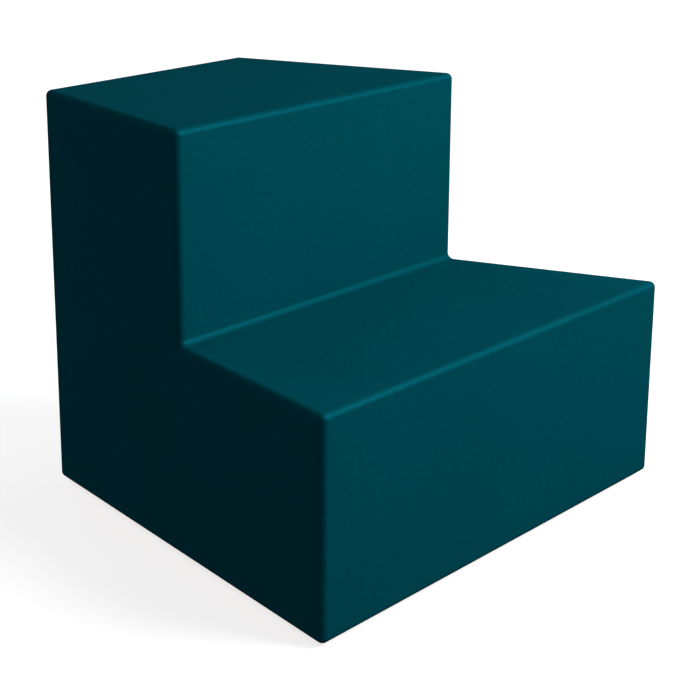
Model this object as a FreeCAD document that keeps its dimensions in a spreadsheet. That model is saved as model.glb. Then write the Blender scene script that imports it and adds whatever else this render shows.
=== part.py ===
import FreeCAD, Part
import math
import os
import Sketcher

# A two-step mounting block.  A plywood carcass carries the rider, thin closed-cell foam
# wraps it, and one seamless sprayed skin covers the foam and turns in under the bottom edge.
# Seen from above the block is a trapezoid: wide at the low step, narrow at the back.
# Millimetres; +Z up; the low step faces -Y; origin on the floor under the middle of the block.

doc = FreeCAD.newDocument("mounting_block")


# ---------------------------------------------------------------- sizes

DRIVING = (
    # the block, over its skin
    ("front_width", 600.0),
    ("back_width", 312.0),
    ("lower_tread_depth", 242.0),
    ("upper_tread_depth", 270.0),
    ("lower_rise", 230.0),
    ("upper_rise", 220.0),
    ("crease_radius", 7.0),
    # what wraps the carcass
    ("skin_thick", 2.0),
    ("foam_thick", 5.0),
    ("turn_under", 40.0),
    ("mouth_radius", 12.0),
    # plywood and battens
    ("panel_thick", 15.0),
    ("tread_thick", 18.0),
    ("base_thick", 12.0),
    ("riser_drop", 45.0),
    ("batten_width", 30.0),
    ("cleat_depth", 30.0),
    ("cleat_height", 40.0),
    # countersunk wood screws
    ("screw_diameter", 5.0),
    ("screw_head_diameter", 9.6),
    ("screw_head_depth", 2.6),
    ("screw_point", 6.0),
    ("screw_length", 40.0),
    ("tread_screw_length", 50.0),
    ("recess_span", 5.0),
    ("recess_slot", 1.1),
    ("recess_depth", 1.8),
    # rubber feet, each on a washer and a pan-head screw
    ("foot_stand", 4.0),
    ("foot_inset", 72.0),
    ("foot_diameter", 40.0),
    ("foot_bevel", 1.5),
    ("foot_web", 1.5),
    ("foot_well_diameter", 18.0),
    ("washer_diameter", 15.0),
    ("washer_thick", 1.0),
    ("foot_screw_diameter", 4.0),
    ("foot_screw_head_diameter", 8.4),
    ("foot_screw_head_height", 2.0),
    ("foot_screw_bite", 9.5),
    ("hole_clearance", 0.2),
)

# Worked out from the driving sizes: levels along Y and Z, and how the sides slope in plan.
WORKED_OUT = (
    ("depth", "Sizes.lower_tread_depth + Sizes.upper_tread_depth"),
    ("slope", "(Sizes.front_width - Sizes.back_width) / (2 * depth)"),
    ("lean", "1 / sqrt(1 + slope ^ 2)"),
    ("wrap", "Sizes.skin_thick + Sizes.foam_thick"),
    ("inner_inset", "wrap + Sizes.panel_thick"),
    ("batten_inset", "inner_inset + Sizes.batten_width"),
    ("front", "-depth / 2"),
    ("riser", "front + Sizes.lower_tread_depth"),
    ("back", "depth / 2"),
    ("frame_front", "front + wrap"),
    ("frame_riser", "riser + wrap"),
    ("frame_back", "back - wrap"),
    ("inner_front", "frame_front + Sizes.panel_thick"),
    ("inner_riser", "frame_riser + Sizes.panel_thick"),
    ("inner_back", "frame_back - Sizes.panel_thick"),
    ("underside", "Sizes.foot_stand"),
    ("frame_bottom", "underside + Sizes.skin_thick"),
    ("base_top", "frame_bottom + Sizes.base_thick"),
    ("lower_top", "underside + Sizes.lower_rise"),
    ("upper_top", "lower_top + Sizes.upper_rise"),
    ("lower_tread_top", "lower_top - wrap"),
    ("upper_tread_top", "upper_top - wrap"),
    ("lower_tread_under", "lower_tread_top - Sizes.tread_thick"),
    ("upper_tread_under", "upper_tread_top - Sizes.tread_thick"),
    ("riser_bottom", "lower_tread_under - Sizes.riser_drop"),
    ("crease_bend", "Sizes.crease_radius + Sizes.skin_thick"),
    ("cove_leg", "0.8 * crease_bend"),
    ("washer_seat", "frame_bottom - Sizes.foot_web"),
    ("washer_face", "washer_seat - Sizes.washer_thick"),
)


def fill_sheet(name, rows):
    """Write one alias a row: the name in column A, its number or formula in column B."""
    sheet = doc.addObject("Spreadsheet::Sheet", name)
    for row, (alias, content) in enumerate(rows, start=1):
        sheet.set("A%d" % row, alias)
        sheet.set("B%d" % row, str(content))
        sheet.setAlias("B%d" % row, alias)
    doc.recompute()
    return sheet


sizes = fill_sheet("Sizes", DRIVING)
places = fill_sheet("Places", [(alias, "=" + formula) for alias, formula in WORKED_OUT])


def value(formula):
    """The number that a formula over the two sheets comes to."""
    result = places.evalExpression(formula)
    return float(getattr(result, "Value", result))


# ---------------------------------------------------------------- outlines, as formulas

LEFT, RIGHT = -1, 1
SIDES = ((LEFT, "left"), (RIGHT, "right"))


def side_x(side, y, inset):
    """X of a line parallel to one sloping side, this far inside it, at this Y."""
    reach = "Sizes.front_width / 2 - (%s - Places.front) * Places.slope - (%s) / Places.lean"
    return "%d * (%s)" % (side, reach % (y, inset))


def across(y_near, y_far, inset):
    """Corners of a board that runs from side to side."""
    return [
        (side_x(LEFT, y_near, inset), y_near),
        (side_x(RIGHT, y_near, inset), y_near),
        (side_x(RIGHT, y_far, inset), y_far),
        (side_x(LEFT, y_far, inset), y_far),
    ]


def along(side, y_near, y_far, outer_inset, inner_inset):
    """Corners of a strip that follows one side."""
    return [
        (side_x(side, y_near, outer_inset), y_near),
        (side_x(side, y_near, inner_inset), y_near),
        (side_x(side, y_far, inner_inset), y_far),
        (side_x(side, y_far, outer_inset), y_far),
    ]


def rib_to_side(side, y_near, y_far):
    """Corners of a batten that fills from the middle rib to one side panel."""
    rib_face = "%d * Sizes.panel_thick / 2" % side
    return [
        (rib_face, y_near),
        (side_x(side, y_near, "Places.inner_inset"), y_near),
        (side_x(side, y_far, "Places.inner_inset"), y_far),
        (rib_face, y_far),
    ]


# ---------------------------------------------------------------- bodies and features

def new_body(label):
    body = doc.addObject("PartDesign::Body", label)
    body.Label = label
    return body


def polygon(body, plane, points, lift="0"):
    """A closed, fully constrained sketch on one of the body's own origin planes."""
    sketch = body.newObject("Sketcher::SketchObject", body.Name + "_sketch")
    support = [feature for feature in body.Origin.OriginFeatures if feature.Role == plane][0]
    sketch.AttachmentSupport = (support, [""])
    sketch.MapMode = "FlatFace"
    sketch.setExpression("AttachmentOffset.Base.z", lift)
    corners = [FreeCAD.Vector(value(first), value(second), 0) for first, second in points]
    count = len(corners)
    for index, corner in enumerate(corners):
        sketch.addGeometry(Part.LineSegment(corner, corners[(index + 1) % count]), False)
    for index in range(count):
        sketch.addConstraint(Sketcher.Constraint("Coincident", index, 2, (index + 1) % count, 1))
    for index, corner in enumerate(corners):
        for kind, number, formula in (
            ("DistanceX", corner.x, points[index][0]),
            ("DistanceY", corner.y, points[index][1]),
        ):
            datum = sketch.addConstraint(Sketcher.Constraint(kind, index, 1, number))
            sketch.setExpression("Constraints[%d]" % datum, formula)
    return sketch


def pad(body, plane, points, start, end):
    """Pad a polygon from one level to another, along the plane's normal."""
    sketch = polygon(body, plane, points, start)
    feature = body.newObject("PartDesign::Pad", body.Name + "_pad")
    feature.Profile = sketch
    feature.setExpression("Length", "%s - (%s)" % (end, start))
    doc.recompute()
    return feature


def board(label, points, bottom, top):
    """A piece with vertical edges: a plan outline between two heights."""
    body = new_body(label)
    pad(body, "XY_Plane", points, bottom, top)
    return body


def turned(label, points):
    """A round piece: a profile of (radius, height) points turned about the upright axis."""
    body = new_body(label)
    sketch = polygon(body, "XZ_Plane", points)
    feature = body.newObject("PartDesign::Revolution", body.Name + "_turn")
    feature.Profile = sketch
    feature.ReferenceAxis = (sketch, ["V_Axis"])
    feature.Angle = 360
    doc.recompute()
    return body


def combined(kind, label, base, tool):
    """A Part boolean of two objects: kind is Part::Cut or Part::Common."""
    result = doc.addObject(kind, label)
    result.Label = label
    result.Base = base
    result.Tool = tool
    doc.recompute()
    return result


def face_normal(face, point):
    u, v = face.Surface.parameter(point)
    return face.normalAt(u, v)


def sharp_edges(shape, wanted=lambda edge: True):
    """Names of the edges where two faces meet at an angle."""
    names = []
    for index, edge in enumerate(shape.Edges, start=1):
        sides = [face for face in shape.Faces if any(edge.isSame(other) for other in face.Edges)]
        if len(sides) != 2 or not wanted(edge):
            continue
        middle = edge.valueAt((edge.FirstParameter + edge.LastParameter) / 2)
        turn = face_normal(sides[0], middle).getAngle(face_normal(sides[1], middle))
        if turn > math.radians(5):
            names.append("Edge%d" % index)
    return names


def round_over(body, edges, radius):
    """Fillet named edges of the body's last feature, with a radius from the sheets."""
    base = body.Tip
    fillet = body.newObject("PartDesign::Fillet", body.Name + "_round")
    fillet.Base = (base, edges)
    fillet.setExpression("Radius", radius)
    doc.recompute()
    return fillet


def stepped_outline(label, cover, convex_radius, crease_radius):
    """The whole stepped block, this far inside the skin, with every edge rounded."""
    near = "Places.front + " + cover
    face = "Places.riser + " + cover
    far = "Places.back - " + cover
    bottom = "Places.underside + " + cover
    step = "Places.lower_top - " + cover
    top = "Places.upper_top - " + cover
    body = board(label, across(near, far, cover), bottom, step)
    pad(body, "XY_Plane", across(face, far, cover), bottom, top)
    step_y, step_z = value(face), value(step)

    def in_crease(edge):
        return all(
            abs(vertex.Y - step_y) < 1e-3 and abs(vertex.Z - step_z) < 1e-3
            for vertex in edge.Vertexes
        )

    round_over(body, sharp_edges(body.Shape, in_crease), crease_radius)
    round_over(body, sharp_edges(body.Shape), convex_radius)
    return body


# ---------------------------------------------------------------- screws

def screw_profile(length):
    """Countersunk screw: head flush at height 0, pointing down."""
    head = "Sizes.screw_head_diameter / 2"
    shank = "Sizes.screw_diameter / 2"
    return [
        ("0", "0"),
        (head, "0"),
        (shank, "-Sizes.screw_head_depth"),
        (shank, "-(%s - Sizes.screw_point)" % length),
        ("0", "-" + length),
    ]


def foot_screw_profile():
    """Pan-head screw, pointing up: its head hangs under the washer."""
    head = "Sizes.foot_screw_head_diameter / 2"
    shank = "Sizes.foot_screw_diameter / 2"
    bottom = "Places.washer_face - Sizes.foot_screw_head_height"
    tip = "Places.frame_bottom + Sizes.foot_screw_bite"
    return [
        ("0", bottom),
        (head + " - 1", bottom),
        (head, bottom + " + 1"),
        (head, "Places.washer_face"),
        (shank, "Places.washer_face"),
        (shank, tip + " - Sizes.foot_screw_diameter / 2"),
        ("0", tip),
    ]


def cross_outline():
    """Twelve corners of a cross-head recess."""
    tip, slot = "Sizes.recess_span / 2", "Sizes.recess_slot / 2"
    arm = ((tip, slot), (slot, slot), (slot, tip))
    points = []
    for sign_x, sign_y, order in ((1, 1, 1), (-1, 1, -1), (-1, -1, 1), (1, -1, -1)):
        for first, second in arm[::order]:
            points.append(("%d * (%s)" % (sign_x, first), "%d * (%s)" % (sign_y, second)))
    return points


def cut_recess(body, lift, upward):
    """Sink a cross recess into a screw head, and make sure that it cut."""
    before = body.Shape.Volume
    pocket = body.newObject("PartDesign::Pocket", body.Name + "_recess")
    pocket.Profile = polygon(body, "XY_Plane", cross_outline(), lift)
    pocket.Reversed = upward
    pocket.setExpression("Length", "Sizes.recess_depth")
    doc.recompute()
    if body.Shape.Volume >= before:
        raise RuntimeError(body.Label + ": the recess cut nothing")


def screw(label, length):
    body = turned(label, screw_profile(length))
    cut_recess(body, "0", False)
    return body


def placed_group(label, pattern, spots):
    """Copies of one screw as a group of separate solids, each at a (head, direction) spot."""
    down = FreeCAD.Vector(0, 0, -1)
    copies = []
    for head, direction in spots:
        copy = pattern.Shape.copy()
        copy.Placement = FreeCAD.Placement(head, FreeCAD.Rotation(down, direction))
        copies.append(copy)
    group = doc.addObject("Part::Feature", label)
    group.Label = label
    group.Shape = Part.makeCompound(copies)
    return group


screws = {
    "Sizes.screw_length": screw("screw", "Sizes.screw_length"),
    "Sizes.tread_screw_length": screw("tread_screw", "Sizes.tread_screw_length"),
}
screw_holes = {length: turned(pattern.Label + "_hole", screw_profile(length))
               for length, pattern in screws.items()}

nodes = []
hole_groups = {}


def fasten(label, boards, spots, length="Sizes.screw_length"):
    """Put one group of screws in, and note its holes for each board that it passes through."""
    nodes.append(placed_group(label, screws[length], spots))
    holes = placed_group(label + "_holes", screw_holes[length], spots)
    for name in boards:
        hole_groups.setdefault(name, []).append(holes)


# ---------------------------------------------------------------- where the screws go

DOWN = FreeCAD.Vector(0, 0, -1)
UP = FreeCAD.Vector(0, 0, 1)
BACKWARD = FreeCAD.Vector(0, 1, 0)
FORWARD = FreeCAD.Vector(0, -1, 0)


def between(low, high, share):
    return value(low) + share * (value(high) - value(low))


def at_side(side, y, z, inset):
    """A point this far inside one side."""
    return FreeCAD.Vector(value(side_x(side, str(y), inset)), y, z)


def inward(side):
    """Square to one sloping side, pointing into the block."""
    direction = FreeCAD.Vector(-side, -value("Places.slope"), 0)
    return direction.normalize()


# Battens stand in the corners: their name, the Y range they fill, and how high they reach.
BATTENS = (
    ("front", "Places.inner_front", "Places.inner_front + Sizes.batten_width",
     "Places.lower_tread_under"),
    ("riser", "Places.inner_riser", "Places.inner_riser + Sizes.batten_width",
     "Places.upper_tread_under"),
    ("back", "Places.inner_back - Sizes.batten_width", "Places.inner_back",
     "Places.upper_tread_under"),
)
BATTEN_LINE = "Places.inner_inset + Sizes.batten_width / 2"
PANEL_LINE = "Places.wrap + Sizes.panel_thick / 2"

# Share of a batten's height at which screws come in from the side panel, kept apart from
# the shares at which they come in from the front, riser and back boards.
SIDE_SHARES = {"front": (0.2, 0.7), "riser": (0.1, 0.4, 0.7), "back": (0.1, 0.4, 0.7)}
FACE_SHARES = {"front": (0.45, 0.9), "riser": (0.58, 0.85), "back": (0.25, 0.55, 0.85)}


def side_screws(side, batten, shares):
    """Screws in through a side panel, square to it, to the middle of a batten."""
    _, near, far, top = batten
    y = between(near, far, 0.5)
    reach = value("Sizes.panel_thick + Sizes.batten_width / 2")
    direction = inward(side)
    spots = []
    for share in shares:
        middle = at_side(side, y, between("Places.base_top", top, share), BATTEN_LINE)
        spots.append((middle - direction * reach, direction))
    return spots


def face_screws(batten, shares, face, direction):
    """Screws in through a cross board, midway across the wood that both of its battens have
    all along the screw: the sides close in towards the back."""
    top = batten[3]
    head_y = value(face)
    tip_y = head_y + direction.y * value("Sizes.screw_length")
    spots = []
    for side, _ in SIDES:
        outer = at_side(side, max(head_y, tip_y), 0, "Places.inner_inset")
        inner = at_side(side, min(head_y, tip_y), 0, "Places.batten_inset")
        for share in shares:
            z = between("Places.base_top", top, share)
            spots.append((FreeCAD.Vector((outer.x + inner.x) / 2, head_y, z), direction))
    return spots


def tread_spots(near, far, top, side_shares, edge_lines, rib_shares):
    """Screws down through one tread: into both side panels, into cross boards, into the rib."""
    z = value(top)
    spots = []
    for share in side_shares:
        y = between(near, far, share)
        spots += [(at_side(side, y, z, PANEL_LINE), DOWN) for side, _ in SIDES]
    for line, width_shares in edge_lines:
        y = value(line)
        half = value(side_x(RIGHT, line, "Places.inner_inset"))
        for share in width_shares:
            spots += [(FreeCAD.Vector(side * share * half, y, z), DOWN) for side, _ in SIDES]
    spots += [(FreeCAD.Vector(0, between(near, far, share), z), DOWN) for share in rib_shares]
    return spots


FRONT_LINE = "Places.frame_front + Sizes.panel_thick / 2"
RISER_LINE = "Places.frame_riser + Sizes.panel_thick / 2"
BACK_LINE = "Places.frame_back - Sizes.panel_thick / 2"
CLEAT_LINE = "Places.frame_riser - Sizes.cleat_depth / 2"

for side, name in SIDES:
    spots = []
    for batten in BATTENS:
        spots += side_screws(side, batten, SIDE_SHARES[batten[0]])
    panels = ["side_panel_" + name]
    panels += ["%s_batten_%s" % (batten[0], name) for batten in BATTENS]
    fasten("side_panel_screws_" + name, panels, spots)

for batten, board_name, face, direction in (
    (BATTENS[0], "lower_riser_board", "Places.frame_front", BACKWARD),
    (BATTENS[1], "upper_riser_board", "Places.frame_riser", BACKWARD),
    (BATTENS[2], "back_panel", "Places.frame_back", FORWARD),
):
    spots = face_screws(batten, FACE_SHARES[batten[0]], face, direction)
    battens = ["%s_batten_%s" % (batten[0], name) for _, name in SIDES]
    fasten(board_name + "_screws", [board_name] + battens, spots)

fasten(
    "lower_tread_screws",
    ["lower_tread_board", "side_panel_left", "side_panel_right", "lower_riser_board",
     "tread_cleat_left", "tread_cleat_right", "centre_rib"],
    tread_spots("Places.frame_front", "Places.frame_riser", "Places.lower_tread_top",
                (0.25, 0.75), ((FRONT_LINE, (0.3, 0.65)), (CLEAT_LINE, (0.5,))), (0.45,)),
    "Sizes.tread_screw_length",
)
fasten(
    "upper_tread_screws",
    ["upper_tread_board", "side_panel_left", "side_panel_right", "upper_riser_board",
     "back_panel", "centre_rib"],
    tread_spots("Places.frame_riser", "Places.frame_back", "Places.upper_tread_top",
                (0.2, 0.5, 0.8), ((RISER_LINE, (0.4,)), (BACK_LINE, (0.45,))), (0.35, 0.7)),
    "Sizes.tread_screw_length",
)

cleat_spots = []
cleat_half = value(side_x(RIGHT, CLEAT_LINE, "Places.inner_inset"))
cleat_front = value("Places.frame_riser - Sizes.cleat_depth")
cleat_middle = value("Places.lower_tread_under - Sizes.cleat_height / 2")
for side, _ in SIDES:
    for share in (0.25, 0.75):
        head = FreeCAD.Vector(side * share * cleat_half, cleat_front, cleat_middle)
        cleat_spots.append((head, BACKWARD))
fasten("cleat_screws", ["tread_cleat_left", "tread_cleat_right", "upper_riser_board"], cleat_spots)

base_spots = []
base_z = value("Places.frame_bottom")
for share in (0.12, 0.5, 0.88):
    y = between("Places.frame_front", "Places.frame_back", share)
    base_spots += [(at_side(side, y, base_z, PANEL_LINE), UP) for side, _ in SIDES]
for line, share in ((FRONT_LINE, 0.45), (BACK_LINE, 0.45)):
    half = value(side_x(RIGHT, line, "Places.inner_inset"))
    base_spots += [(FreeCAD.Vector(side * share * half, value(line), base_z), UP)
                   for side, _ in SIDES]
for share in (0.2, 0.5, 0.8):
    y = between("Places.frame_front", "Places.frame_back", share)
    base_spots.append((FreeCAD.Vector(0, y, base_z), UP))
fasten(
    "base_board_screws",
    ["base_board", "side_panel_left", "side_panel_right", "lower_riser_board", "back_panel",
     "centre_rib"],
    base_spots,
)


# ---------------------------------------------------------------- feet

def foot_profile():
    """Rubber foot: bevelled rim on the floor, a well from below for the screw head."""
    rim = "Sizes.foot_diameter / 2"
    well = "Sizes.foot_well_diameter / 2"
    hole = "Sizes.foot_screw_diameter / 2 + Sizes.hole_clearance"
    return [
        (well, "0"),
        (rim + " - Sizes.foot_bevel", "0"),
        (rim, "Sizes.foot_bevel"),
        (rim, "Places.frame_bottom"),
        (hole, "Places.frame_bottom"),
        (hole, "Places.washer_seat"),
        (well, "Places.washer_seat"),
    ]


def washer_profile():
    hole = "Sizes.foot_screw_diameter / 2 + Sizes.hole_clearance"
    rim = "Sizes.washer_diameter / 2"
    return [
        (hole, "Places.washer_face"),
        (rim, "Places.washer_face"),
        (rim, "Places.washer_seat"),
        (hole, "Places.washer_seat"),
    ]


foot_places = []
for line, name in (
    ("Places.front + Sizes.foot_inset", "front"),
    ("Places.back - Sizes.foot_inset", "back"),
):
    for side, hand in SIDES:
        foot_places.append(("%s_%s" % (name, hand), side_x(side, line, "Sizes.foot_inset"), line))

for name, x, y in foot_places:
    foot = turned("foot_" + name, foot_profile())
    foot.setExpression("Placement.Base.x", x)
    foot.setExpression("Placement.Base.y", y)
    nodes.append(foot)

foot_spots = [(FreeCAD.Vector(value(x), value(y), 0), DOWN) for _, x, y in foot_places]
washer = turned("washer", washer_profile())
foot_screw = turned("foot_screw", foot_screw_profile())
foot_screw_hole = turned("foot_screw_hole", foot_screw_profile())
cut_recess(foot_screw, "Places.washer_face - Sizes.foot_screw_head_height", True)
nodes.append(placed_group("foot_washers", washer, foot_spots))
nodes.append(placed_group("foot_screws", foot_screw, foot_spots))
hole_groups["base_board"].append(placed_group("foot_screw_holes", foot_screw_hole, foot_spots))


# ---------------------------------------------------------------- carcass

def drilled(label, blank):
    """The finished piece: its blank with every screw hole that passes through it."""
    groups = hole_groups.pop(label)
    tool = groups[0]
    if len(groups) > 1:
        tool = doc.addObject("Part::Compound", label + "_holes")
        tool.Links = groups
    piece = combined("Part::Cut", label, blank, tool)
    nodes.append(piece)
    return piece


def side_panel(side, label):
    """L-shaped panel, cut from one sheet: tall behind the upper riser, low under the low step."""
    outer, inner = "Places.wrap", "Places.inner_inset"
    body = board(label + "_blank",
                 along(side, "Places.frame_front", "Places.frame_back", outer, inner),
                 "Places.base_top", "Places.lower_tread_under")
    pad(body, "XY_Plane",
        along(side, "Places.frame_riser", "Places.frame_back", outer, inner),
        "Places.base_top", "Places.upper_tread_under")
    drilled(label, body)


def centre_rib():
    """Stepped rib on edge, with a notch in its step for the foot of the upper riser board."""
    body = new_body("centre_rib_blank")
    outline = [
        ("Places.inner_front", "Places.base_top"),
        ("Places.inner_back", "Places.base_top"),
        ("Places.inner_back", "Places.upper_tread_under"),
        ("Places.inner_riser", "Places.upper_tread_under"),
        ("Places.inner_riser", "Places.riser_bottom"),
        ("Places.frame_riser", "Places.riser_bottom"),
        ("Places.frame_riser", "Places.lower_tread_under"),
        ("Places.inner_front", "Places.lower_tread_under"),
    ]
    pad(body, "YZ_Plane", outline, "-Sizes.panel_thick / 2", "Sizes.panel_thick / 2")
    drilled("centre_rib", body)


for label, near, far, inset, bottom, top in (
    ("base_board", "Places.frame_front", "Places.frame_back", "Places.wrap",
     "Places.frame_bottom", "Places.base_top"),
    ("lower_riser_board", "Places.frame_front", "Places.inner_front", "Places.inner_inset",
     "Places.base_top", "Places.lower_tread_under"),
    ("upper_riser_board", "Places.frame_riser", "Places.inner_riser", "Places.inner_inset",
     "Places.riser_bottom", "Places.upper_tread_under"),
    ("back_panel", "Places.inner_back", "Places.frame_back", "Places.inner_inset",
     "Places.base_top", "Places.upper_tread_under"),
    ("lower_tread_board", "Places.frame_front", "Places.frame_riser", "Places.wrap",
     "Places.lower_tread_under", "Places.lower_tread_top"),
    ("upper_tread_board", "Places.frame_riser", "Places.frame_back", "Places.wrap",
     "Places.upper_tread_under", "Places.upper_tread_top"),
):
    drilled(label, board(label + "_blank", across(near, far, inset), bottom, top))

centre_rib()

for side, hand in SIDES:
    side_panel(side, "side_panel_" + hand)
    for name, near, far, top in BATTENS:
        label = "%s_batten_%s" % (name, hand)
        outline = along(side, near, far, "Places.inner_inset", "Places.batten_inset")
        drilled(label, board(label + "_blank", outline, "Places.base_top", top))
    label = "tread_cleat_" + hand
    outline = rib_to_side(side, "Places.frame_riser - Sizes.cleat_depth", "Places.frame_riser")
    blank = board(label + "_blank", outline,
                  "Places.lower_tread_under - Sizes.cleat_height", "Places.lower_tread_under")
    drilled(label, blank)


# ---------------------------------------------------------------- foam and skin

foam_outline = stepped_outline("foam_outline", "Sizes.skin_thick", "Sizes.foam_thick",
                               "Places.crease_bend")
skin_outline = stepped_outline("skin_outline", "0", "Places.wrap", "Sizes.crease_radius")


def foam(label, points, bottom, top):
    """A sheet of foam, trimmed and rounded to the foam layer's outline."""
    blank = board(label + "_blank", points, bottom, top)
    nodes.append(combined("Part::Common", label, blank, foam_outline))


for side, hand in SIDES:
    foam("foam_side_" + hand,
         along(side, "Places.front", "Places.back", "0", "Places.wrap"),
         "Places.underside", "Places.upper_top")

foam("foam_lower_riser", across("Places.front", "Places.frame_front", "Places.wrap"),
     "Places.underside", "Places.lower_tread_top")
foam("foam_back", across("Places.frame_back", "Places.back", "Places.wrap"),
     "Places.underside", "Places.upper_tread_top")
foam("foam_lower_tread", across("Places.front", "Places.frame_riser", "Places.wrap"),
     "Places.lower_tread_top", "Places.lower_top - Sizes.skin_thick")
foam("foam_upper_riser",
     across("Places.riser + Sizes.skin_thick", "Places.frame_riser", "Places.wrap"),
     "Places.lower_top - Sizes.skin_thick", "Places.upper_tread_top")
foam("foam_upper_tread", across("Places.riser", "Places.back", "Places.wrap"),
     "Places.upper_tread_top", "Places.upper_top")
foam("crease_cove",
     across("Places.riser + Sizes.skin_thick - Places.cove_leg",
            "Places.riser + Sizes.skin_thick", "Places.wrap"),
     "Places.lower_top - Sizes.skin_thick",
     "Places.lower_top - Sizes.skin_thick + Places.cove_leg")

mouth = board("skin_mouth",
              across("Places.front + Sizes.turn_under", "Places.back - Sizes.turn_under",
                     "Sizes.turn_under"),
              "Places.underside - Sizes.skin_thick", "Places.frame_bottom")
upright = sharp_edges(mouth.Shape, lambda edge: abs(edge.tangentAt(edge.FirstParameter).z) > 0.99)
round_over(mouth, upright, "Sizes.mouth_radius")
shell = combined("Part::Cut", "skin_shell", skin_outline, foam_outline)
nodes.append(combined("Part::Cut", "outer_skin", shell, mouth))


# ---------------------------------------------------------------- check and write

doc.recompute()
if hole_groups:
    raise RuntimeError("holes for pieces that were never made: " + ", ".join(hole_groups))
for item in doc.Objects:
    if "Invalid" in item.State or "Error" in item.State:
        raise RuntimeError("%s did not build: %s" % (item.Label, item.State))
for node in nodes:
    if node.Shape.isNull() or not node.Shape.isValid() or not node.Shape.Solids:
        raise RuntimeError(node.Label + " has no valid solid")

os.makedirs("parts", exist_ok=True)
for node in nodes:
    node.Shape.exportStep("parts/%s.step" % node.Label)
    print("%-26s %2d solid(s) %12.1f mm3" % (node.Label, len(node.Shape.Solids), node.Shape.Volume))
print(len(nodes), "nodes")
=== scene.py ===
# %% [markdown]
# # A two-step mounting block in Blender
#
# A rider stands on this block to reach the stirrup. The real one is a plywood carcass, wrapped
# in thin foam and sprayed with one seamless coat of teal elastomer, so there is hardly a line on
# it: what makes it look real is how evenly its edges are rounded and how satin light slides over
# them. The lesson builds the finishes, the coat, the screws and the feet, each in its own cell.
#
# The imported CAD model is the frame. It says where every board is, so the first cell loads it.

import math

import bmesh
import bpy
import numpy as np
from mathutils import Matrix, Quaternion, Vector


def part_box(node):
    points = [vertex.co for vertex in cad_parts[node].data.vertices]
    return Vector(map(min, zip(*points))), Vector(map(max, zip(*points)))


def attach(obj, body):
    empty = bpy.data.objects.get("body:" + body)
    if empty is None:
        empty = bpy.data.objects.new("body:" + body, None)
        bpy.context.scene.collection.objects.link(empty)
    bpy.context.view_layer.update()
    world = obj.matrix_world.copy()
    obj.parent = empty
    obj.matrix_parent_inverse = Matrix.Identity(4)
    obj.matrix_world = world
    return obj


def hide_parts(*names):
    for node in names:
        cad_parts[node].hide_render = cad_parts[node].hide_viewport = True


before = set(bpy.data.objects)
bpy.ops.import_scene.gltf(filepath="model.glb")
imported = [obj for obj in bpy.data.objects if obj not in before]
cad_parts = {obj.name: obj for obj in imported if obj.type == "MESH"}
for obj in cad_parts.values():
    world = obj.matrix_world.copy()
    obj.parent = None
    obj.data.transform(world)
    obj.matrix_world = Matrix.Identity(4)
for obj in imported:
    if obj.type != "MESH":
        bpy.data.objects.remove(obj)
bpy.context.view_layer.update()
MM = 0.001

# %% [markdown]
# ## Measure the block
#
# Everything that is made below has to land on the boards, so its sizes are read from the boxes
# of a few of them. The coat's own box gives front, back, top and underside. The base board shows
# how far in the carcass starts, and two cross boards show how fast the sides close in.

# %% Sizes read from the frame
coat_low, coat_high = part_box("outer_skin")
base_low, base_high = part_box("base_board")
low_board_low, low_board_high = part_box("lower_riser_board")
back_board_low, back_board_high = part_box("back_panel")

coat_thickness = coat_high.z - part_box("foam_upper_tread")[1].z
wrap = base_low.y - coat_low.y                   # foam and coat together, round a sharp board
front, back = coat_low.y, coat_high.y
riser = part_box("upper_riser_board")[0].y - wrap  # face of the upper riser
underside, upper_tread = coat_low.z, coat_high.z
lower_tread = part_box("foam_lower_tread")[1].z + coat_thickness

closing_in = (low_board_high.x - back_board_high.x) / (back_board_low.y - low_board_low.y)
lean = 1 / math.hypot(1, closing_in)             # cosine of the sides' angle in plan
crease_radius = 7 * MM                           # of the coat, where riser meets low tread
turned_under = 40 * MM                           # how far the coat turns in below
mouth_corner = 12 * MM                           # radius of the opening's corners below


def half_width(y, inset):
    """Distance from the middle plane to a line this far inside the block's side, at this y."""
    return base_high.x - (y - base_low.y) * closing_in + (wrap - inset) / lean


print("wrap", round(wrap / MM, 2), "mm, front", round(2 * half_width(front, 0) / MM),
      "mm, back", round(2 * half_width(back, 0) / MM), "mm")

# %% [markdown]
# ## Small helpers
#
# Geometry trees and materials are both built from nodes, so a few helpers keep the cells short.
# They feed a socket, add a node, name a tree's own sockets and wrap the nodes used most. The last
# two show a mesh as an object, and run a geometry tree on a mesh and give back a plain mesh.

# %% Node helpers
def feed(source, socket):
    """Link an output to a socket, or set a number or a colour on it."""
    if isinstance(source, bpy.types.NodeSocket):
        socket.id_data.links.new(source, socket)
    else:
        socket.default_value = source


def add(tree, kind, values=None, **settings):
    """One node, with its settings and what each of its sockets is fed."""
    node = tree.nodes.new(kind)
    for key, setting in settings.items():
        setattr(node, key, setting)
    for socket, source in (values or {}).items():
        feed(source, node.inputs[socket])
    return node


def new_tree(name, kind, inputs, outputs):
    """A tree with named sockets; an input's value is its default number or its type."""
    tree = bpy.data.node_groups.new(name, kind)
    for name, default in inputs.items():
        number = isinstance(default, float)
        socket_type = "NodeSocket" + ("Float" if number else default)
        socket = tree.interface.new_socket(name, in_out="INPUT", socket_type=socket_type)
        if number:
            socket.default_value = default
    for name, socket_type in outputs.items():
        tree.interface.new_socket(name, in_out="OUTPUT", socket_type="NodeSocket" + socket_type)
    return tree, add(tree, "NodeGroupInput").outputs, add(tree, "NodeGroupOutput")


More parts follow.
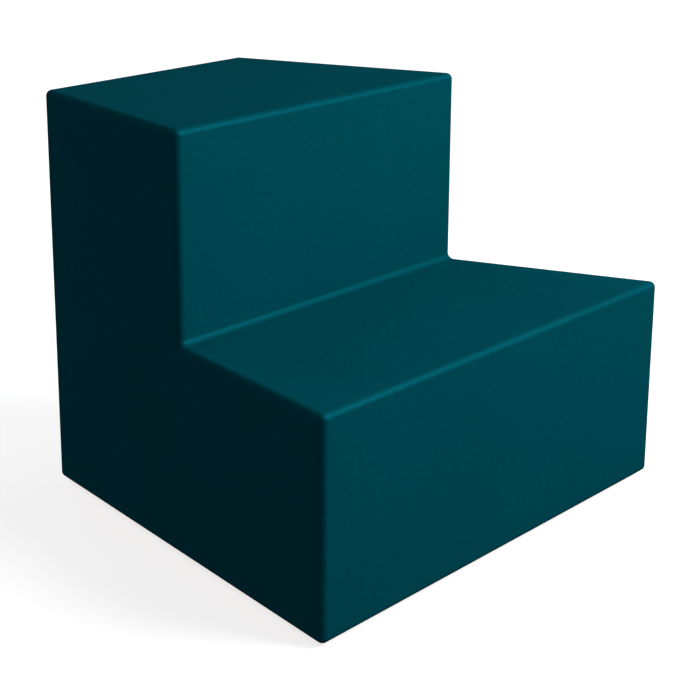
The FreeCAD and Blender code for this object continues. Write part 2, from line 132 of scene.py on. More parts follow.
def shader_group(name, masks, **sizes):
    """A group that reads a vector and some sizes and puts out masks."""
    inputs = {"Vector": "Vector"}
    inputs.update((key.replace("_", " ").capitalize(), size) for key, size in sizes.items())
    return new_tree(name, "ShaderNodeTree", inputs, dict.fromkeys(masks, "Float"))


def geometry_tree(name, inputs):
    """A geometry tree, with its own inputs between the Geometry and the Finish."""
    inputs = {"Geometry": "Geometry", **inputs, "Finish": "Material"}
    return new_tree(name, "GeometryNodeTree", inputs, {"Geometry": "Geometry"})


def math_node(tree, operation, *sources):
    """A Math node; each source is a number or the output to link."""
    return add(tree, "ShaderNodeMath", dict(enumerate(sources)), operation=operation).outputs[0]


def noise(tree, place, scale, detail, roughness=0.5, distortion=0.0):
    """A Noise Texture at this place; its scale is a number or the output to link."""
    values = {"Vector": place, "Scale": scale, "Detail": detail, "Roughness": roughness,
              "Distortion": distortion}
    return add(tree, "ShaderNodeTexNoise", values).outputs["Fac"]


def mapped(tree, value, start, end, to_start=0.0, to_end=1.0):
    """Turn the range start..end into to_start..to_end, and hold it there outside."""
    ends = {"From Min": start, "From Max": end, "To Min": to_start, "To Max": to_end}
    return add(tree, "ShaderNodeMapRange", {"Value": value, **ends}).outputs["Result"]


def told(made):
    """Print the size of a finished tree or material and pass it on."""
    tree = getattr(made, "node_tree", made)
    print(made.name + ":", len(tree.nodes), "nodes")
    return made


def end_tree(tree, inside, outside, *steps):
    """Chain the steps, then make copies real and set the finish, as every geometry tree must."""
    whole = add(tree, "GeometryNodeRealizeInstances")
    finish = add(tree, "GeometryNodeSetMaterial", {"Material": inside["Finish"]})
    chain = (*steps, whole, finish, outside)
    for first, second in zip(chain, chain[1:]):
        feed(first.outputs[0], second.inputs[0])
    return told(tree)


def attribute(tree, name):
    """The vector that each point of a geometry carries under this name."""
    return add(tree, "GeometryNodeInputNamedAttribute", {"Name": name},
               data_type="FLOAT_VECTOR").outputs["Attribute"]


def shown(name, mesh):
    """Put a mesh in the scene as an object at the origin."""
    piece = bpy.data.objects.new(name, mesh)
    bpy.context.scene.collection.objects.link(piece)
    return piece


def grow(tree, name, seed_mesh, **values):
    """Run a geometry tree on a mesh and return the result as a plain mesh."""
    source = shown(name + "_source", seed_mesh)
    modifier = source.modifiers.new(tree.name, "NODES")
    modifier.node_group = tree
    for item in tree.interface.items_tree:
        key = item.name.lower().replace(" ", "_")
        if item.item_type == "SOCKET" and item.in_out == "INPUT" and key in values:
            modifier[item.identifier] = values[key]
    evaluated = source.evaluated_get(bpy.context.evaluated_depsgraph_get())
    mesh = bpy.data.meshes.new_from_object(evaluated)
    mesh.name = name
    bpy.data.objects.remove(source)
    return mesh


# %% [markdown]
# ## Shader groups
#
# Some effects belong to more than one finish. Each is a node group with its own inputs, built
# once. A group only puts out masks and heights; the shader itself stays in each material.
#
# The first is what spraying or moulding leaves on a surface: a fine grain for its height, and a
# slow drift for its tone and gloss. Noise in real sizes does both, and it never repeats.

# %% Group: fine texture of a sprayed or moulded surface
def fine_texture_group():
    tree, inside, outside = shader_group(
        "fine texture", ("Height", "Drift"), grain_size=0.002, drift_size=0.12)
    place = inside["Vector"]
    per_grain = math_node(tree, "DIVIDE", 1.0, inside["Grain size"])
    per_drift = math_node(tree, "DIVIDE", 1.0, inside["Drift size"])
    feed(noise(tree, place, per_grain, 3.0, 0.45), outside.inputs["Height"])
    feed(noise(tree, place, per_drift, 2.0), outside.inputs["Drift"])
    return told(tree)


fine_texture = fine_texture_group()

# %% [markdown]
# Wood is a bundle of fibres, so its grain is noise stretched along one direction. Coarse noise
# folded back and forth gives the growth rings, fine noise the fibres, and the peaks of a finer
# one the pores. Plywood and spruce both use it, each with its own band width.

# %% Group: grain of sawn wood
def wood_grain_group():
    """Fibres run along the vector's X. Bands are the growth rings, Pores are short dark lines."""
    tree, inside, outside = shader_group(
        "wood grain", ("Bands", "Fibre", "Pores"), band_width=0.02)
    stretch = {"Vector": inside["Vector"], "Scale": (0.06, 1.0, 1.0)}
    place = add(tree, "ShaderNodeMapping", stretch).outputs["Vector"]
    per_band = math_node(tree, "DIVIDE", 1.0, inside["Band width"])
    per_fibre = math_node(tree, "MULTIPLY", per_band, 14.0)
    bands = math_node(tree, "MULTIPLY", noise(tree, place, per_band, 2.0, distortion=0.6), 5.0)
    masks = {
        "Bands": math_node(tree, "PINGPONG", bands, 1.0),
        "Fibre": noise(tree, place, per_fibre, 4.0, 0.7),
        "Pores": mapped(tree, noise(tree, place, 1300.0, 1.0), 0.58, 0.68),
    }
    for name, mask in masks.items():
        feed(mask, outside.inputs[name])
    return told(tree)


wood_grain = wood_grain_group()

# %% [markdown]
# Boots and tools leave short rubbed lines, and they leave them in patches. Two stretched noises
# at different angles make the lines, and a broad one says where the patches are.

# %% Group: faint scuffs
def scuffs_group():
    """Short rubbed lines in two directions, in patches. Amount goes from 0 to 1."""
    tree, inside, outside = shader_group("faint scuffs", ("Marks",), length=0.05, amount=0.5)
    place = inside["Vector"]
    per_length = math_node(tree, "DIVIDE", 1.0, inside["Length"])
    lines = []
    for turn_by in (0.5, 2.2):
        stretch = {"Vector": place, "Rotation": (0.0, 0.0, turn_by), "Scale": (1.0, 14.0, 14.0)}
        way = add(tree, "ShaderNodeMapping", stretch).outputs["Vector"]
        lines.append(mapped(tree, noise(tree, way, per_length, 2.0), 0.6, 0.72))
    worn = mapped(tree, noise(tree, place, 9.0, 1.0), 0.45, 0.7)
    in_patches = math_node(tree, "MULTIPLY", math_node(tree, "MAXIMUM", *lines), worn)
    amount = inside["Amount"]
    feed(math_node(tree, "MULTIPLY", in_patches, amount), outside.inputs["Marks"])
    return told(tree)


scuffs = scuffs_group()

# %% [markdown]
# ## Finishes
#
# Every material reads Object coordinates, which are metres in the block's own frame, so a grain
# size is a real size. Colours are written as the eye sees them and turned to linear values. A
# number that is the same all over goes on the shader's own socket, which an export can read.

# %% Helpers for materials
def seen(red, green, blue):
    """Linear colour of a colour given as 0 to 255 on a screen."""
    return tuple(
        v / 12.92 if v <= 0.04045 else ((v + 0.055) / 1.055) ** 2.4
        for v in (red / 255, green / 255, blue / 255)
    ) + (1.0,)


def blank_material(name, **shader_values):
    """A material with its Principled shader, and the place and facing that patterns read."""
    material = bpy.data.materials.new(name)
    material.use_nodes = True
    tree = material.node_tree
    shader = tree.nodes["Principled BSDF"]
    for key, value in shader_values.items():
        shader.inputs[key.replace("_", " ")].default_value = value
    where = add(tree, "ShaderNodeTexCoord")
    return material, tree, shader, where.outputs["Object"], where.outputs["Normal"]


def use_group(tree, group, vector, **values):
    """Place a shader group, with its vector linked and its sizes set."""
    sizes = {key.replace("_", " ").capitalize(): value for key, value in values.items()}
    return add(tree, "ShaderNodeGroup", {"Vector": vector, **sizes}, node_tree=group).outputs


def between(tree, mask, low, high, kind="RGBA"):
    """Mix two colours, or two numbers, by a mask."""
    first, output = {"RGBA": (6, 2), "FLOAT": (2, 0)}[kind]
    mix = add(tree, "ShaderNodeMix", {0: mask, first: low, first + 1: high}, data_type=kind)
    return mix.outputs[output]


def shade(tree, shader, colour, gloss_mask, smoothest, roughest, height, depth):
    """Colour, roughness between two values by a mask, and a Bump of this depth in metres."""
    bump = add(tree, "ShaderNodeBump", {"Strength": 1.0, "Distance": depth, "Height": height})
    roughness = mapped(tree, gloss_mask, 0.0, 1.0, smoothest, roughest)
    feed(colour, shader.inputs["Base Color"])
    feed(roughness, shader.inputs["Roughness"])
    feed(bump.outputs["Normal"], shader.inputs["Normal"])


# %% [markdown]
# The coat is a satin elastomer, sprayed in passes: deep teal, nearly even, with a fine pebble
# from the gun, a wider orange peel under it, and faint scuffs only where boots go. It has hardly
# any white shine, so the plain reflection is nearly off and a little Metallic tints what is left.

# %% Finish: teal sprayed coat
def teal_coat():
    material, tree, shader, place, facing = blank_material(
        "teal sprayed coat", Metallic=0.25, Specular_IOR_Level=0.01,
        Specular_Tint=(0.3, 0.41, 0.52, 1.0),
    )
    spray = use_group(tree, fine_texture, place, grain_size=1.8 * MM, drift_size=160 * MM)
    peel = use_group(tree, fine_texture, place, grain_size=7 * MM, drift_size=30 * MM)
    rubbed = use_group(tree, scuffs, place, length=30 * MM, amount=1.0)
    up = add(tree, "ShaderNodeSeparateXYZ", {0: facing}).outputs["Z"]
    upward = math_node(tree, "MAXIMUM", up, 0.0)
    trodden = math_node(tree, "MULTIPLY", rubbed["Marks"], upward)
    clean = between(tree, spray["Drift"], seen(0, 80, 91), seen(0, 85, 97))
    sheen = math_node(tree, "MULTIPLY_ADD", trodden, 0.6, spray["Drift"])
    relief = math_node(tree, "MULTIPLY_ADD", peel["Height"], 2.0, spray["Height"])
    shade(tree, shader, between(tree, trodden, clean, seen(12, 88, 100)), sheen, 0.42, 0.52,
          relief, 0.25 * MM)
    return told(material)


coat_finish = teal_coat()

# %% [markdown]
# The screws are zinc plated: a cool, slightly cloudy metal that has no colour of its own except
# a trace of yellow where the plating is thin. One slow drift moves its colour and its gloss.

# %% Finish: zinc plate
def zinc_plate():
    material, tree, shader, place, _ = blank_material("zinc plate", Metallic=1.0)
    cloud = use_group(tree, fine_texture, place, grain_size=0.5 * MM, drift_size=6 * MM)
    colour = between(tree, cloud["Drift"], seen(205, 207, 210), seen(216, 210, 190))
    shade(tree, shader, colour, cloud["Drift"], 0.26, 0.48, cloud["Height"], 0.01 * MM)
    return told(material)


zinc_finish = zinc_plate()

# %% [markdown]
# The feet are black moulded rubber. Yard dust sits in the texture and in the rubbed lines, so
# both masks are added up and lighten the black.

# %% Finish: moulded rubber
def moulded_rubber():
    material, tree, shader, place, _ = blank_material("moulded rubber", Specular_IOR_Level=0.35)
    skin = use_group(tree, fine_texture, place, grain_size=0.6 * MM, drift_size=12 * MM)
    rubbed = use_group(tree, scuffs, place, length=8 * MM, amount=0.6)
    dust = math_node(tree, "MULTIPLY", skin["Height"], skin["Drift"])
    dust = math_node(tree, "ADD", dust, rubbed["Marks"])
    colour = between(tree, dust, seen(34, 34, 36), seen(72, 71, 70))
    shade(tree, shader, colour, skin["Drift"], 0.62, 0.85, skin["Height"], 0.03 * MM)
    return told(material)


rubber_finish = moulded_rubber()

# %% [markdown]
# The foam is pale, closed-cell sheet. Its cut faces show tiny round cells, which a smooth
# Voronoi texture draws, on a slightly uneven skin.

# %% Finish: closed-cell foam
def foam():
    material, tree, shader, place, _ = blank_material("closed-cell foam", Specular_IOR_Level=0.2)
    voronoi = {"Vector": place, "Scale": 900.0}
    cells = add(tree, "ShaderNodeTexVoronoi", voronoi, feature="SMOOTH_F1")
    skin = use_group(tree, fine_texture, place, grain_size=1.5 * MM, drift_size=50 * MM)
    relief = math_node(tree, "MULTIPLY_ADD", cells.outputs["Distance"], 0.6, skin["Height"])
    colour = between(tree, skin["Drift"], seen(216, 217, 219), seen(232, 232, 230))
    shade(tree, shader, colour, skin["Height"], 0.75, 0.95, relief, 0.2 * MM)
    return told(material)


foam_finish = foam()

# %% [markdown]
# ## Wood
#
# Plywood shows its face grain on the two wide sides and its layers on the edges, and which one a
# point shows depends on the way the surface faces there. So the material turns the place and
# the facing into the board's own directions first: X along the grain, Z through the thickness.
# Each board direction is a material, and all of them use the one grain group.

# %% Finish: birch plywood
PLY = 1.4 * MM


def in_board(tree, vector, to_board, kind):
    """Turn a place or a facing from the block's directions into a board's own."""
    values = {"Vector": vector, "Rotation": to_board}
    own = add(tree, "ShaderNodeMapping", values, vector_type=kind).outputs["Vector"]
    return own, add(tree, "ShaderNodeSeparateXYZ", {0: own}).outputs["Z"]


def plywood(name, to_board):
    """to_board: rotation that turns the block's directions into the board's own."""
    material, tree, shader, place, facing = blank_material("birch plywood " + name)
    place, depth = in_board(tree, place, to_board, "POINT")
    _, through = in_board(tree, facing, to_board, "VECTOR")
    grain = use_group(tree, wood_grain, place, band_width=70 * MM)
    on_face = math_node(tree, "GREATER_THAN", math_node(tree, "ABSOLUTE", through), 0.6)
    layer = math_node(tree, "PINGPONG", math_node(tree, "DIVIDE", depth, PLY), 1.0)
    dark_layer = math_node(tree, "GREATER_THAN", layer, 0.5)
    fibre = math_node(tree, "MULTIPLY", grain["Fibre"], 0.4)
    streaks = math_node(tree, "MULTIPLY_ADD", grain["Bands"], 0.4, fibre)
    face_tone = math_node(tree, "MULTIPLY_ADD", grain["Pores"], 0.35, streaks)
    end_fibre = math_node(tree, "MULTIPLY", grain["Fibre"], 0.6)
    edge_tone = math_node(tree, "MULTIPLY_ADD", dark_layer, 0.5, end_fibre)
    tone = between(tree, on_face, edge_tone, face_tone, "FLOAT")
    relief = math_node(tree, "SUBTRACT", grain["Fibre"], grain["Pores"])
    shade(tree, shader, between(tree, tone, seen(226, 198, 156), seen(168, 124, 80)),
          grain["Fibre"], 0.5, 0.78, relief, 0.12 * MM)
    return told(material)


# %% [markdown]
# The battens are sawn spruce. Solid wood has no layers, so it only needs the grain, with
# narrower bands and a deeper, rougher fibre than plywood.

# %% Finish: sawn spruce
def spruce(name, to_board):
    material, tree, shader, place, _ = blank_material("sawn spruce " + name)
    place, _ = in_board(tree, place, to_board, "POINT")
    grain = use_group(tree, wood_grain, place, band_width=12 * MM)
    fibre = math_node(tree, "MULTIPLY", grain["Fibre"], 0.35)
    tone = math_node(tree, "MULTIPLY_ADD", grain["Bands"], 0.7, fibre)
    shade(tree, shader, between(tree, tone, seen(232, 206, 160), seen(190, 144, 92)),
          grain["Fibre"], 0.6, 0.85, grain["Fibre"], 0.25 * MM)
    return told(material)


# %% [markdown]
# ## Dress the carcass
#
# The boards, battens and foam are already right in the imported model, so they stay as they are
# and only get a finish. A maker lays each board's face grain along its length, and the two side
# panels follow the closing sides, so every board direction gets a turn of its own.

# %% Give each board its finish
def board_turn(along, through):
    """Rotation that lays a board's grain along X and its thickness along Z."""
    along, through = Vector(along).normalized(), Vector(through).normalized()
    return Matrix((along, through.cross(along), through)).to_euler()


ACROSS, DEEP, UP = (1, 0, 0), (0, 1, 0), (0, 0, 1)
flat_board = plywood("flat", board_turn(ACROSS, UP))
cross_board = plywood("across", board_turn(ACROSS, DEEP))
rib_board = plywood("rib", board_turn(DEEP, ACROSS))
left_board = plywood("left side", board_turn((closing_in, 1, 0), (-1, closing_in, 0)))
right_board = plywood("right side", board_turn((-closing_in, 1, 0), (1, closing_in, 0)))
upright_batten = spruce("upright", board_turn(UP, ACROSS))
level_cleat = spruce("level", board_turn(ACROSS, UP))
finishes = {
    "foam_": foam_finish, "crease_cove": foam_finish,
    "front_batten_": upright_batten, "riser_batten_": upright_batten,
    "back_batten_": upright_batten, "tread_cleat_": level_cleat,
    "base_board": flat_board, "lower_tread_board": flat_board, "upper_tread_board": flat_board,
    "lower_riser_board": cross_board, "upper_riser_board": cross_board,
    "back_panel": cross_board, "centre_rib": rib_board,
    "side_panel_left": left_board, "side_panel_right": right_board,
}
for start, finish in finishes.items():
    for name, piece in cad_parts.items():
        if name.startswith(start) and "screws" not in name:
            piece.material_slots[0].material = finish
            print(name, "is", finish.name)

# %% [markdown]
# ## The seamless coat
#
# On the real block nobody shapes the rounded edges: 5 mm foam is bent round sharp plywood and
# 2 mm of coat is sprayed over it, so every point of the coat ends up the same distance from the
# carcass. That is a rule, and it makes the mesh. A folded sheet of points is laid on the sharp
# carcass. Along an edge several points share one place and only face different ways. A geometry
# tree then pushes each point out along the way it faces, and flats, rounded edges and ball
# corners all come out of the same step. A bevel would need a different width on every edge,
# because the corners in plan are 74 and 106 degrees.
#
# First come the stations: places and facings once round the side view of the carcass.

# %% Stations round the side view
CELL = 8 * MM          # spacing on the flats
BEND = 12              # steps round each edge
COLUMNS = 64           # steps from side to side

core_front, core_back = front + wrap, back - wrap
core_riser = riser + wrap
core_bottom, core_low, core_top = underside + wrap, lower_tread - wrap, upper_tread - wrap
crease_y, crease_z = riser - crease_radius, lower_tread + crease_radius
crease_reach = wrap + crease_radius


def marks(low, high):
    """Even marks from low to high, about a cell apart."""
    return list(np.linspace(low, high, max(2, round((high - low) / CELL) + 1)))


low_step_marks = marks(core_front, crease_y)
high_step_marks = marks(core_riser, core_back)
low_rise_marks = marks(core_bottom, core_low)
high_rise_marks = marks(crease_z, core_top)
depth_marks = low_step_marks + high_step_marks
height_marks = low_rise_marks + high_rise_marks


def turn(y, z, start):
    """Stations in a sharp corner: one place, facing round a quarter turn (start in degrees)."""
    angles = np.radians(start + np.linspace(0, 90, BEND + 1)[1:-1])
    return [(y, z, -math.cos(a), math.sin(a)) for a in angles]


def outline():
    """Stations once round the side view: place (y, z) on the carcass and facing (y, z)."""
    crease = []
    for a in np.radians(np.linspace(0, 90, BEND + 1)[1:-1]):
        place = (crease_y + crease_reach * math.sin(a), crease_z - crease_reach * math.cos(a))
        crease.append(place + (-math.sin(a), math.cos(a)))
    return (
        [(core_front, z, -1, 0) for z in low_rise_marks] + turn(core_front, core_low, 0)
        + [(y, core_low, 0, 1) for y in low_step_marks] + crease
        + [(core_riser, z, -1, 0) for z in high_rise_marks] + turn(core_riser, core_top, 0)
        + [(y, core_top, 0, 1) for y in high_step_marks] + turn(core_back, core_top, 90)
        + [(core_back, z, 1, 0) for z in reversed(height_marks)] + turn(core_back, core_bottom, 180)
        + [(y, core_bottom, 0, -1) for y in reversed(depth_marks)]
        + turn(core_front, core_bottom, 270)
    )


stations = outline()
print(len(stations), "stations")

# %% [markdown]
# Each station becomes a row of points from side to side. At both ends the row swings round to
# the way the side faces, which makes the side edges, and the ball corners where two edges meet.
# The two L-shaped sides are flat, so a grid closes them, with a fan of thin faces at the crease.

# %% The sheet of points
side_faces = [Vector((-lean, closing_in * lean, 0)), Vector((lean, closing_in * lean, 0))]


def swing(start, end, steps=BEND):
    """Arrows from one to the other along the shortest way round."""
    angle = start.angle(end)
    return [
        (start * math.sin(angle * (1 - t)) + end * math.sin(angle * t)) / math.sin(angle)
        for t in np.linspace(0, 1, steps + 1)
    ]


def carcass_sheet():
    """Points on the carcass, their facing, and faces; the flat underside is left open."""
    places, facings, faces = [], [], []
    for y, z, face_y, face_z in stations:
        facing = Vector((0, face_y, face_z))
        reach = half_width(y, wrap)
        row = [(-reach, d) for d in swing(side_faces[0], facing)]
        row += [(x, facing) for x in np.linspace(-reach, reach, COLUMNS + 1)[1:-1]]
        row += [(reach, d) for d in swing(facing, side_faces[1])]
        places += [(x, y, z) for x, _ in row]
        facings += [tuple(d) for _, d in row]
    width = len(places) // len(stations)
    for i in range(len(stations)):
        after = (i + 1) % len(stations)
        below = stations[i][3] == -1 and stations[after][3] == -1
        for j in range(width - 1):
            if below and BEND <= j < BEND + COLUMNS:
                continue
            here, there = i * width + j, after * width + j
            faces.append((here, here + 1, there + 1, there))
    for side in (0, 1):
        close_side(side, places, facings, faces)
    return places, facings, faces


def close_side(side, places, facings, faces):
    """The flat L-shaped face of one side, with a fan of thin faces in the crease."""
    sign = 2 * side - 1

    def point(y, z):
        places.append((sign * half_width(y, wrap), y, z))
        facings.append(tuple(side_faces[side]))
        return len(places) - 1

    def face(*corners):
        faces.append(corners if side == 0 else corners[::-1])

    grid = [[point(y, z) for z in height_marks] for y in depth_marks]
    steps, rises = len(low_step_marks), len(low_rise_marks)
    for a in range(len(depth_marks) - 1):
        for b in range(len(height_marks) - 1):
            if b < rises - 1 or a >= steps:
                face(grid[a][b], grid[a][b + 1], grid[a + 1][b + 1], grid[a + 1][b])
    corner = grid[steps][rises - 1]
    arc = [
        point(crease_y + crease_reach * math.sin(t), crease_z - crease_reach * math.cos(t))
        for t in np.linspace(0, math.pi / 2, BEND + 1)
    ]
    for first, second in zip(arc, arc[1:]):
        face(corner, first, second)


sheet = bpy.data.meshes.new("carcass sheet")
places, facings, faces = carcass_sheet()
sheet.from_pydata(places, [], faces)
outward = sheet.attributes.new("outward", "FLOAT_VECTOR", "POINT")
outward.data.foreach_set("vector", np.array(facings, np.float32).ravel())
print("sheet on the carcass:", len(places), "points")

# %% [markdown]
# Now the tree that pushes the sheet out. It runs twice: once for the outside of the coat, with a
# ripple too slight to see as a shape but enough to bend a reflection, and once, 2 mm less far,
# for the inside. Points that meet are welded, and the seed of the ripple is fixed.

# %% Tree: push the sheet out
def wrapping_tree():
    """Moves each point along the way it faces. Ripple is the coat's slight unevenness."""
    tree, inside, outside = geometry_tree("wrap the carcass", {
        "Wrap": 0.007, "Ripple": 0.0, "Ripple width": 0.1, "Seed": 1.0})
    facing = attribute(tree, "outward")
    up = add(tree, "ShaderNodeSeparateXYZ", {0: facing}).outputs["Z"]
    above = math_node(tree, "MINIMUM", math_node(tree, "ADD", up, 1.0), 1.0)
    per_width = math_node(tree, "DIVIDE", 1.0, inside["Ripple width"])
    values = {"Detail": 1.0, "Scale": per_width, "W": inside["Seed"]}
    uneven = add(tree, "ShaderNodeTexNoise", values, noise_dimensions="4D").outputs["Fac"]
    wave = math_node(tree, "SUBTRACT", uneven, 0.5)
    wave = math_node(tree, "MULTIPLY", wave, inside["Ripple"])
    wave = math_node(tree, "MULTIPLY", wave, above)
    reach = math_node(tree, "ADD", wave, inside["Wrap"])
    push = add(tree, "ShaderNodeVectorMath", {0: facing, "Scale": reach}, operation="SCALE")
    values = {"Geometry": inside["Geometry"], "Offset": push.outputs[0]}
    move = add(tree, "GeometryNodeSetPosition", values)
    weld = add(tree, "GeometryNodeMergeByDistance", {"Distance": 0.002 * MM})
    smooth = add(tree, "GeometryNodeSetShadeSmooth")
    return end_tree(tree, inside, outside, move, weld, smooth)


wrapping = wrapping_tree()
outer_face = grow(wrapping, "coat outside", sheet, wrap=wrap, ripple=0.25 * MM,
                  ripple_width=130 * MM, seed=4.0, finish=coat_finish)
inner_face = grow(wrapping, "coat inside", sheet.copy(), wrap=wrap - coat_thickness,
                  finish=coat_finish)
print("outside of the coat:", len(outer_face.vertices), "points")

# %% [markdown]
# ## Turning the coat under
#
# The coat is carried round the bottom edge and 40 mm in under the base board, then trimmed to a
# wide mouth with rounded corners. It is flat there, so it needs no grid: each face of the coat
# gets a ring filled between its bottom edge and the mouth, and the trimmed edge joins the two.

# %% Close the coat underneath
MOUTH_STEPS = 8        # round each corner of the mouth


def mouth_outline():
    """The mouth's outline in plan: a trapezoid with rounded corners, counter-clockwise."""
    near, far = front + turned_under, back - turned_under
    corners = [
        Vector((side * half_width(y, turned_under), y))
        for side, y in ((-1, near), (1, near), (1, far), (-1, far))
    ]
    points = []
    for k, corner in enumerate(corners):
        before = (corners[k - 1] - corner).normalized()
        after = (corners[(k + 1) % 4] - corner).normalized()
        half = before.angle(after) / 2
        centre = corner + (before + after).normalized() * mouth_corner / math.sin(half)
        start = corner + before * mouth_corner / math.tan(half) - centre
        end = corner + after * mouth_corner / math.tan(half) - centre
        points += [centre + arm for arm in swing(start, end, MOUTH_STEPS)]
    return points


def ring_below(mesh, z):
    """Fill from the open bottom edge to the mouth; the mouth's points come last."""
    bm = bmesh.new()
    bm.from_mesh(mesh)
    rim = [edge for edge in bm.edges if edge.is_boundary]
    ring = [bm.verts.new((p.x, p.y, z)) for p in mouth_outline()]
    loop = [bm.edges.new((ring[k - 1], ring[k])) for k in range(len(ring))]
    bmesh.ops.triangle_fill(bm, edges=rim + loop, use_beauty=True, normal=(0, 0, -1))
    bm.to_mesh(mesh)
    bm.free()
    return len(ring)


def finished_mesh(bm, name, material):
    """Face a closed shape outwards, shade it smooth, give it its finish, and report on it."""
    bmesh.ops.recalc_face_normals(bm, faces=bm.faces)
    for face in bm.faces:
        face.smooth = True
    mesh = bpy.data.meshes.new(name)
    bm.to_mesh(mesh)
    open_edges = sum(not edge.is_manifold for edge in bm.edges)
    print(name + ":", len(bm.faces), "faces,", open_edges, "open edges,",
          round(bm.calc_volume() / MM ** 3), "mm3")
    bm.free()
    mesh.materials.append(material)
    return mesh


def whole_coat():
    """Both faces of the coat in one mesh, joined along the trimmed edge of the mouth."""
    count = ring_below(outer_face, underside)
    ring_below(inner_face, underside + coat_thickness)
    bm = bmesh.new()
    bm.from_mesh(outer_face)
    outer_count = len(bm.verts)
    bm.from_mesh(inner_face)
    bm.verts.ensure_lookup_table()
    outer_ring = bm.verts[outer_count - count:outer_count]
    inner_ring = bm.verts[len(bm.verts) - count:]
    for k in range(count):
        bm.faces.new((outer_ring[k - 1], outer_ring[k], inner_ring[k], inner_ring[k - 1]))
    return finished_mesh(bm, "seamless_coat", coat_finish)


coat = shown("seamless_coat", whole_coat())

# %% [markdown]
# Smooth shading blends the facing of neighbours, so a broad flat next to a narrow rounded edge
# seems to sag. Weighted normals let the big faces decide, and the flats stay flat up to their
# edges. The modifier is applied, so that the piece is a plain mesh before it joins the frame.

# %% Even out the coat's shading
SHARP = math.radians(35)

coat.data.set_sharp_from_angle(angle=SHARP)
weighted = coat.modifiers.new("even normals", "WEIGHTED_NORMAL")
weighted.keep_sharp = True
evaluated = coat.evaluated_get(bpy.context.evaluated_depsgraph_get())
even_mesh = bpy.data.meshes.new_from_object(evaluated)
coat.modifiers.clear()
coat.data = even_mesh
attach(coat, "root")
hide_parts("outer_skin")
print("seamless_coat:", len(even_mesh.polygons), "faces")

# %% [markdown]
# ## Screws and washers
#
# Seventy countersunk screws hold the carcass and four pan-head screws the feet. The packed
# model knows where each one is, so the places are read from it: the point of a screw is its
# vertex furthest from the middle, and the vertices furthest from the point are the rim of its
# head. One screw of each kind is modelled well, and a geometry tree puts a copy at every place,
# turned by a seeded random angle, because nobody stops a driver with all the crosses in line.

# %% Places of the screws
def loose_parts(node_name):
    """Vertex places of each separate shape in a CAD node, in the order of its vertices."""
    bm = bmesh.new()
    bm.from_mesh(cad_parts[node_name].data)
    bmesh.ops.remove_doubles(bm, verts=bm.verts, dist=0.001 * MM)
    bm.verts.index_update()
    met, parts = [False] * len(bm.verts), []
    for first in bm.verts:
        waiting, part = [first], []
        while waiting:
            vert = waiting.pop()
            if not met[vert.index]:
                met[vert.index] = True
                part.append(vert.co.copy())
                waiting += [edge.other_vert(vert) for edge in vert.link_edges]
        if part:
            parts.append(part)
    bm.free()
    return parts


def screw_place(part):
    """Middle of the head's outer face, way the screw points, and length."""
    middle = sum(part, Vector()) / len(part)
    tip = max(part, key=lambda p: (p - middle).length)
    longest = max((p - tip).length for p in part)
    rim = [p for p in part if (p - tip).length > longest - 0.01 * MM]
    head = sum(rim, Vector()) / len(rim)
    return head, (tip - head).normalized(), (tip - head).length


screw_nodes = sorted(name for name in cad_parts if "screws" in name)
screw_places = {name: [screw_place(part) for part in loose_parts(name)] for name in screw_nodes}
for name in screw_nodes:
    lengths = {round(length / MM) for _, _, length in screw_places[name]}
    print(name, len(screw_places[name]), "of length", lengths, "mm")

# %% [markdown]
# Screws, washers and feet are all turned shapes, so one helper makes them: it spins a profile of
# (radius, height) pairs about the Z axis. A thread is the same spin with the radius swelling
# once for every turn and pitch, which is what a die does to the wire.

# %% Turned shapes
def turned(profile, steps, pitch=0.0, crest=0.0, threaded=(0.0, 0.0)):
    """A closed bmesh: profile (radius, height) spun about Z, with a thread between two heights."""
    bm = bmesh.new()
    rings = []
    for radius, height in profile:
        ring = []
        for k in range(steps if radius > 0 else 1):
            angle = 2 * math.pi * k / steps
            r = radius
            if pitch and threaded[0] <= height <= threaded[1]:
                wave = (height / pitch - k / steps) % 1
                r -= crest * abs(2 * wave - 1)
            ring.append(bm.verts.new((r * math.cos(angle), r * math.sin(angle), height)))
        rings.append(ring)
    for lower, upper in zip(rings, rings[1:]):
        for k in range(steps):
            a, b = lower[k % len(lower)], lower[(k + 1) % steps % len(lower)]
            c, d = upper[(k + 1) % steps % len(upper)], upper[k % len(upper)]
            bm.faces.new([v for i, v in enumerate((a, b, c, d)) if v not in (a, b, c, d)[:i]])
    return bm, rings


def rounded(corners, radius, steps=3):
    """Round every inner corner of a profile by this radius, or less on a short run."""
    result = [corners[0]]
    for before, corner, after in zip(corners, corners[1:], corners[2:]):
        b, c, a = Vector(before), Vector(corner), Vector(after)
        reach = min(radius, (b - c).length * 0.45, (a - c).length * 0.45)
        start, end = c + (b - c).normalized() * reach, c + (a - c).normalized() * reach
        for t in np.linspace(0, 1, steps + 1):
            result.append(tuple((1 - t) ** 2 * start + 2 * t * (1 - t) * c + t * t * end))
    return result + [corners[-1]]


def crisp(mesh):
    """Keep real edges sharp on a small hard part, and its round faces smooth."""
    mesh.set_sharp_from_angle(angle=math.radians(40))
    return mesh


# %% [markdown]
# A driver turns these screws by a cross in the head. It is sunk as geometry, because it is the
# first thing seen on a screw head up close: the flat face is filled round the mouth of the
# cross, and the mouth narrows to a floor and a point.

# %% Cross recess
NARROWER, THINNER, DEEPER = 0.55, 0.8, 1.15      # floor of the cross, against its mouth


